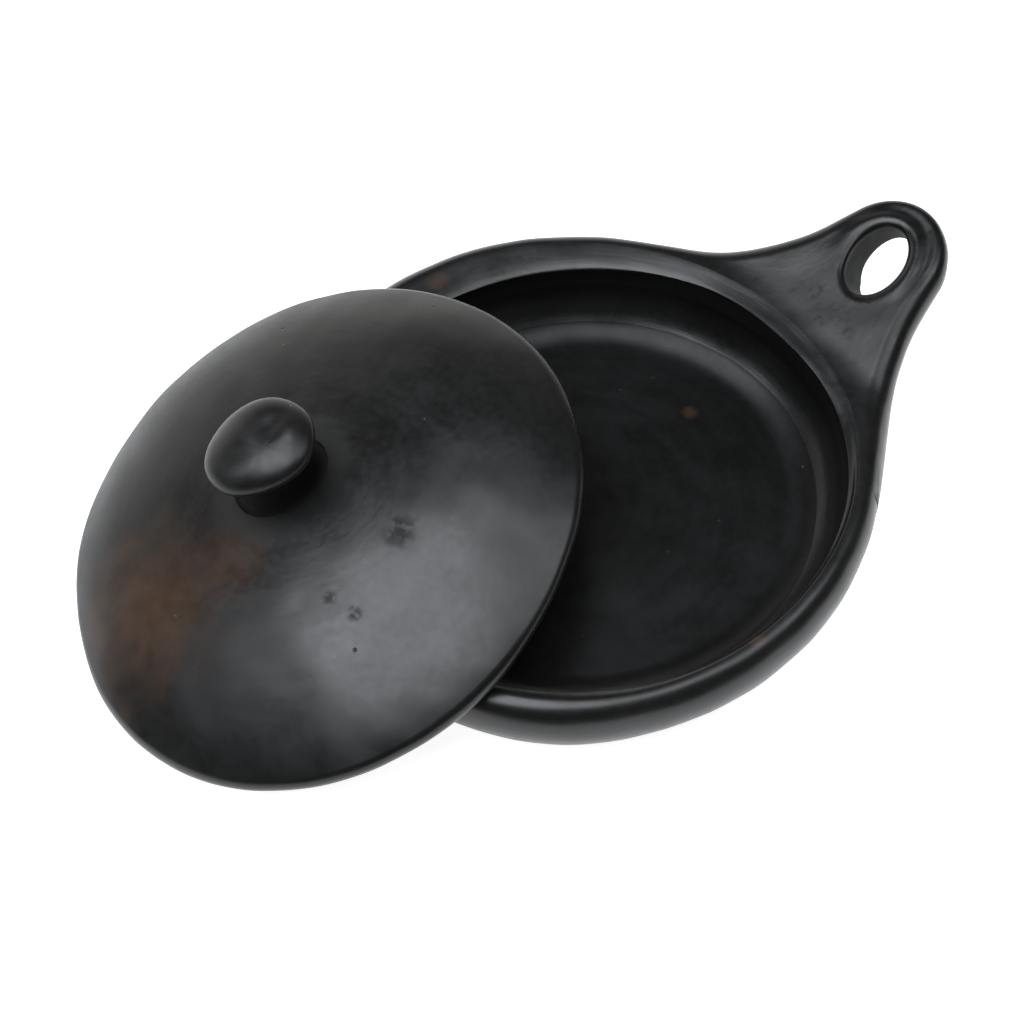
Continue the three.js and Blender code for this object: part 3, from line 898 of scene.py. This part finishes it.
class Nodes:
    """Short ways to build a node tree."""

    def __init__(self, tree):
        self.tree = tree

    def add(self, kind, settings=None, **inputs):
        """A new node. Its inputs are named, or numbered with a leading underscore."""
        node = self.tree.nodes.new(kind)
        for key, value in (settings or {}).items():
            setattr(node, key, value)
        for key, value in inputs.items():
            socket = node.inputs[int(key[1:])] if key[0] == "_" else node.inputs[key.replace("_", " ")]
            self.feed(socket, value)
        return node

    def feed(self, socket, value):
        """Links the socket to another node's output, or sets it to a plain value."""
        if isinstance(value, bpy.types.NodeSocket):
            self.tree.links.new(value, socket)
        else:
            socket.default_value = value

    def attribute(self, name, output):
        return self.add("ShaderNodeAttribute", {"attribute_name": name}).outputs[output]

    def math(self, operation, first, second):
        return self.add("ShaderNodeMath", {"operation": operation}, _0=first, _1=second).outputs[0]

    def times(self, first, second):
        return self.math("MULTIPLY", first, second)

    def plus(self, first, second):
        return self.math("ADD", first, second)

    def vector_math(self, operation, **inputs):
        return self.add("ShaderNodeVectorMath", {"operation": operation}, **inputs).outputs

    def noise(self, vector, scale, detail=2.0):
        made = self.add("ShaderNodeTexNoise", Vector=vector, Scale=scale, Detail=detail, Roughness=0.5)
        return made.outputs["Fac"]

    def ramp(self, value, low, high, to_low=0.0, to_high=1.0):
        """The value eased from one range to another, and held at its ends."""
        made = self.add("ShaderNodeMapRange", {"interpolation_type": "SMOOTHSTEP"}, Value=value)
        made.inputs["From Min"].default_value = low
        made.inputs["From Max"].default_value = high
        made.inputs["To Min"].default_value = to_low
        made.inputs["To Max"].default_value = to_high
        return made.outputs["Result"]

    def mix(self, share, first, second):
        """The second colour over the first. A mix node's colours are its inputs 6 and 7."""
        return self.add("ShaderNodeMix", {"data_type": "RGBA"}, _0=share, _6=first, _7=second).outputs[2]

    def near(self, spot, reach, where):
        """1 at a spot, fading to 0 at reach, ragged by noise. All in metres."""
        ragged = self.add("ShaderNodeTexNoise", Vector=where, Scale=3.3 / reach, Detail=3.0)
        sway = reach * 0.6
        shaken = self.vector_math("MULTIPLY_ADD", _0=ragged.outputs["Color"],
                                  _1=(sway, sway, sway), _2=where)[0]
        shifted_spot = tuple(place + sway / 2 for place in spot)
        away = self.vector_math("DISTANCE", _0=shaken, _1=shifted_spot)["Value"]
        return self.ramp(away, reach, reach * 0.2)

    def scattered(self, where, scale, channel, rarity, size):
        """Small round spots, in the few cells of a fine pattern whose random channel is high."""
        cells = self.add("ShaderNodeTexVoronoi", Vector=where, Scale=scale, Randomness=1.0)
        chance = self.add("ShaderNodeSeparateColor", _0=cells.outputs["Color"]).outputs[channel]
        return self.times(self.ramp(cells.outputs["Distance"], *size), self.ramp(chance, *rarity))


def new_material(name):
    """A material with its node helper and its Principled shader."""
    material = bpy.data.materials.new(name)
    material.use_nodes = True
    return material, Nodes(material.node_tree), material.node_tree.nodes["Principled BSDF"]


def clay(name, dark, light, gloss, relief, blushes=(), stains=(), ior=1.5):
    """Burnished, smoke-fired clay: charcoal clouds, polish marks, pits, grit, blushes, stains, and
    painted shade in the unpolished hollows.
    """
    material, n, shader = new_material(name)
    where = n.attribute("place", "Vector")
    flow = n.attribute("flow", "Vector")
    unpolished_and_shaded = n.attribute("unpolished_and_shaded", "Fac")
    marks = n.noise(flow, 520.0, 1.5)
    broad_marks = n.noise(flow, 160.0)
    clouds = n.noise(where, 14.0)
    mottle = n.noise(where, 70.0)
    grain = n.noise(where, 330.0, 1.5)
    pits = n.scattered(where, 140.0, 0, rarity=(0.95, 0.97), size=(0.14, 0.05))
    specks = n.scattered(where, 210.0, 1, rarity=(0.975, 0.98), size=(0.07, 0.03))

    colour = n.mix(n.ramp(clouds, 0.35, 0.68), dark, light)
    for spot, reach, tint, strength in blushes:
        share = n.times(n.near(spot, reach, where), strength)
        share = n.times(share, n.ramp(mottle, 0.2, 0.75, 0.45, 1.0))
        colour = n.mix(share, colour, tint)
    colour = n.mix(n.times(pits, 0.7), colour, BLACK)
    colour = n.mix(n.times(specks, 0.8), colour, GRIT)

    rough = n.plus(gloss, n.ramp(mottle, 0.3, 0.7, -0.02, 0.02))
    rough = n.plus(rough, n.ramp(grain, 0.3, 0.7, -0.02, 0.025))
    rough = n.plus(rough, n.ramp(broad_marks, 0.3, 0.7, -0.03, 0.03))
    rough = n.plus(rough, n.times(pits, 0.3))
    for spot, reach in stains:
        share = n.times(n.near(spot, reach, where), n.ramp(grain, 0.35, 0.55, 0.3, 1.0))
        colour = n.mix(share, colour, SOOT_AND_SHADE)
        rough = n.plus(rough, n.times(share, 0.35))
    # Painted shade: the unpolished hollows are made rougher and also painted near black.
    colour = n.mix(unpolished_and_shaded, colour, SOOT_AND_SHADE)
    rough = n.plus(rough, n.times(unpolished_and_shaded, 0.4))

    height = n.plus(n.times(marks, 0.35), n.times(broad_marks, 0.4))
    height = n.plus(height, n.times(mottle, 0.35))
    height = n.plus(height, n.times(grain, 0.12))
    height = n.math("SUBTRACT", height, n.times(pits, 1.5))
    bump = n.add("ShaderNodeBump", Strength=relief, Distance=BUMP_HEIGHT, Height=height)
    n.feed(shader.inputs["Base Color"], colour)
    n.feed(shader.inputs["Roughness"], rough)
    n.feed(shader.inputs["Normal"], bump.outputs[0])
    shader.inputs["IOR"].default_value = ior
    return material


# ---- the pieces -------------------------------------------------------------------------------
def dress(piece, body, material, node):
    piece.data.materials.append(material)
    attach(piece, body)
    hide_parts(node)


def build_pan(outside_clay, inside_clay):
    skin, seams = pan_skin()
    outside = outside_weight(pan_profile()[0])[:, None]
    skin, normals = worked_skin(skin, PAN_WAVES, RIM_CHIPS)
    skin = tuck_under_handle(skin, normals, outside)
    slab_in, wall_in, wall_out, slab_out, last = seams
    slab = ring_piece(skin, normals, [(0, slab_in), (slab_out, last)], False)
    wall = ring_piece(skin, normals, [(slab_in, wall_in), (wall_out, slab_out)], True)
    rim = ring_piece(skin, normals, [(wall_in, wall_out)], True)
    dress(mesh_object("pan_base_slab", slab), "pan", inside_clay, "base_slab")
    dress(mesh_object("pan_wall_coil", wall), "pan", outside_clay, "wall_coil")
    dress(mesh_object("pan_rim_coil", rim), "pan", outside_clay, "rim_coil")
    handle = mesh_object("pan_handle", handle_piece(), handle_flow, None, down_the_hole)
    dress(handle, "pan", outside_clay, "handle")


def lid_pieces():
    """The dome and the edge, in the lid's own frame."""
    profile, seams = lid_profile()
    skin = swept(profile, LID_COLUMNS, LID_OUT_OF_ROUND, LID_LONG_AXIS, LID_WOBBLE)
    skin, normals = worked_skin(skin, LID_WAVES)
    over, under, last = seams
    dome = ring_piece(skin, normals, [(0, over), (under, last)], False)
    edge = ring_piece(skin, normals, [(over, under)], True)
    return dome, edge


def knob_pieces():
    """The cap and the neck, in the lid's own frame. The neck's foot follows the dome's relief."""
    profile, seams = knob_profile()
    skin = swept(profile, KNOB_COLUMNS, KNOB_OUT_OF_ROUND, KNOB_LONG_AXIS) + KNOB_OFFSET
    up_neck = smoothstep(LID_CROWN_HEIGHT, NECK_TOP, skin[..., 2])
    skin = skin - NECK_LEAN * (1 - up_neck)[..., None]
    off_dome = smoothstep(LID_CROWN_HEIGHT, LID_CROWN_HEIGHT + FOOT_BLEND, skin[..., 2])
    knob_relief = relief_of(skin, KNOB_WAVES, KNOB_DENTS)
    relief = relief_of(skin, LID_WAVES) * (1 - off_dome) + knob_relief * off_dome
    skin = skin + swept_normals(skin) * relief[..., None]
    normals = swept_normals(skin)
    under_cap, last = seams
    cap = ring_piece(skin, normals, [(0, under_cap)], False)
    neck = ring_piece(skin, normals, [(under_cap, last)], False)
    return cap, neck


def build_lid(lid_clay, knob_clay, neck_shade_clay):
    to_world = lid_frame()
    dome, edge = lid_pieces()
    cap, neck = knob_pieces()
    for name, piece, slot, material, node in (
        ("lid_dome_shell", dome, "lid_clay", lid_clay, "lid_dome"),
        ("lid_edge_coil", edge, "lid_clay", lid_clay, "lid_edge"),
        ("lid_knob_cap", cap, "knob_clay", knob_clay, "knob_cap"),
        ("lid_knob_neck", neck, "knob_clay", neck_shade_clay, "knob_neck"),
    ):
        made = mesh_object(name, piece, swept_flow, to_world, round_the_neck)
        dress(made, "lid", material, node)


# ---- studio -------------------------------------------------------------------------------------
FLOOR_HALF_SIZE = 12.0
FLOOR_DROP = 0.0002  # the floor lies this far under the pan's base
FLOOR_FADE = (0.6, 2.4)  # it darkens between these distances from the pan
FLOOR_GLOW, FAR_FLOOR_GLOW = 0.93, 0.04
FLOOR_PALENESS = 0.65  # its colour, as a share of its glow
WALL_COLOUR = (1.0, 0.98, 0.95, 1)
BACK_WALL_WAY = (-0.35, 0.94, 0)
BACK_WALL_GLOW, ROOM_GLOW = 1.3, 0.03
SOFTBOXES = (  # name, place, width, depth, power, colour
    ("overhead", (-0.42, -0.14, 1.6), 1.38, 1.24, 32.0, (0.91, 0.95, 1.0)),
    ("left_fill", (-1.34, -0.10, 1.5), 0.50, 1.10, 5.0, (0.91, 0.95, 1.0)),
    ("side_fill", (0.72, -0.02, 1.5), 0.60, 1.00, 6.5, (0.93, 0.96, 1.0)),
)
CAMERA_TARGET = Vector((-0.0261, 0.0032, 0.0))
CAMERA_DISTANCE = 0.70
CAMERA_ELEVATION = math.radians(57.6)
CAMERA_ROLL = math.radians(-1.73)
CAMERA_LENS = 59.8


def build_softbox(name, where, width, depth, power, colour):
    """A rectangular light that faces the middle of the scene."""
    light = bpy.data.lights.new(name, "AREA")
    light.shape = "RECTANGLE"
    light.size = width
    light.size_y = depth
    light.energy = power
    light.color = colour
    box = bpy.data.objects.new(name, light)
    box.location = where
    box.rotation_euler = (-Vector(where)).to_track_quat("-Z", "Y").to_euler()
    bpy.context.scene.collection.objects.link(box)


def studio_walls():
    """A dim room whose pale back wall is brightest low down."""
    world = bpy.data.worlds.new("studio_walls")
    world.use_nodes = True
    n = Nodes(world.node_tree)
    towards = n.add("ShaderNodeTexCoord").outputs["Generated"]
    up = n.add("ShaderNodeSeparateXYZ", _0=towards).outputs["Z"]
    facing = n.vector_math("DOT_PRODUCT", _0=towards, _1=BACK_WALL_WAY)["Value"]
    back_wall = n.times(n.ramp(up, 0.60, 0.15), n.ramp(facing, 0.3, 1.0))
    background = world.node_tree.nodes["Background"]
    background.inputs["Color"].default_value = WALL_COLOUR
    n.feed(background.inputs["Strength"], n.plus(n.times(back_wall, BACK_WALL_GLOW), ROOM_GLOW))
    return world


def build_floor():
    """A sheet of white paper, lit from below near the pan and darker far away."""
    half = FLOOR_HALF_SIZE
    corners = [(-half, -half, 0), (half, -half, 0), (half, half, 0), (-half, half, 0)]
    mesh = bpy.data.meshes.new("studio_floor")
    mesh.from_pydata(corners, [], [(0, 1, 2, 3)])
    floor = bpy.data.objects.new("studio_floor", mesh)
    floor.location.z = -FLOOR_DROP
    bpy.context.scene.collection.objects.link(floor)
    paper, n, shader = new_material("white_paper")
    where = n.add("ShaderNodeTexCoord").outputs["Object"]
    away = n.vector_math("LENGTH", _0=where)["Value"]
    glow = n.ramp(away, *FLOOR_FADE, FLOOR_GLOW, FAR_FLOOR_GLOW)
    n.feed(shader.inputs["Base Color"], n.times(glow, FLOOR_PALENESS))
    n.feed(shader.inputs["Emission Strength"], glow)
    shader.inputs["Emission Color"].default_value = (1, 1, 1, 1)
    shader.inputs["Roughness"].default_value = 0.9
    mesh.materials.append(paper)


def build_studio():
    build_floor()
    for box in SOFTBOXES:
        build_softbox(*box)
    bpy.context.scene.world = studio_walls()
    bpy.context.scene.view_settings.view_transform = "Standard"


def build_camera():
    data = bpy.data.cameras.new("camera")
    data.lens = CAMERA_LENS
    data.sensor_width = 36
    data.clip_start = 0.01
    camera = bpy.data.objects.new("camera", data)
    back = Vector((0, -math.cos(CAMERA_ELEVATION), math.sin(CAMERA_ELEVATION)))
    level_up = Vector((0, math.sin(CAMERA_ELEVATION), math.cos(CAMERA_ELEVATION)))
    right = math.cos(CAMERA_ROLL) * Vector((1, 0, 0)) + math.sin(CAMERA_ROLL) * level_up
    up = back.cross(right)
    turn = Matrix((right, up, back)).transposed().to_4x4()
    camera.matrix_world = Matrix.Translation(CAMERA_TARGET + CAMERA_DISTANCE * back) @ turn
    bpy.context.scene.collection.objects.link(camera)
    bpy.context.scene.camera = camera


build_camera()
build_pan(
    clay("outside_clay", BLACK, CHARCOAL, 0.31, 0.55, PAN_BLUSHES, PAN_STAINS),
    clay("inside_clay", BLACK, DULL_BLACK, 0.35, 0.30, INSIDE_BLUSHES, ior=1.29),
)
build_lid(
    clay("lid_clay", BLACK, CHARCOAL, 0.33, 0.6, LID_BLUSHES, LID_STAINS, ior=1.46),
    clay("knob_clay", BLACK, CHARCOAL, 0.37, 0.5, ior=1.43),
    # the neck: all black with no charcoal clouds, as painted shade under the cap; rougher, with a lower
    # IOR
    clay("knob_neck_shade_clay", BLACK, BLACK, 0.50, 0.5, ior=1.27),
)
build_studio()
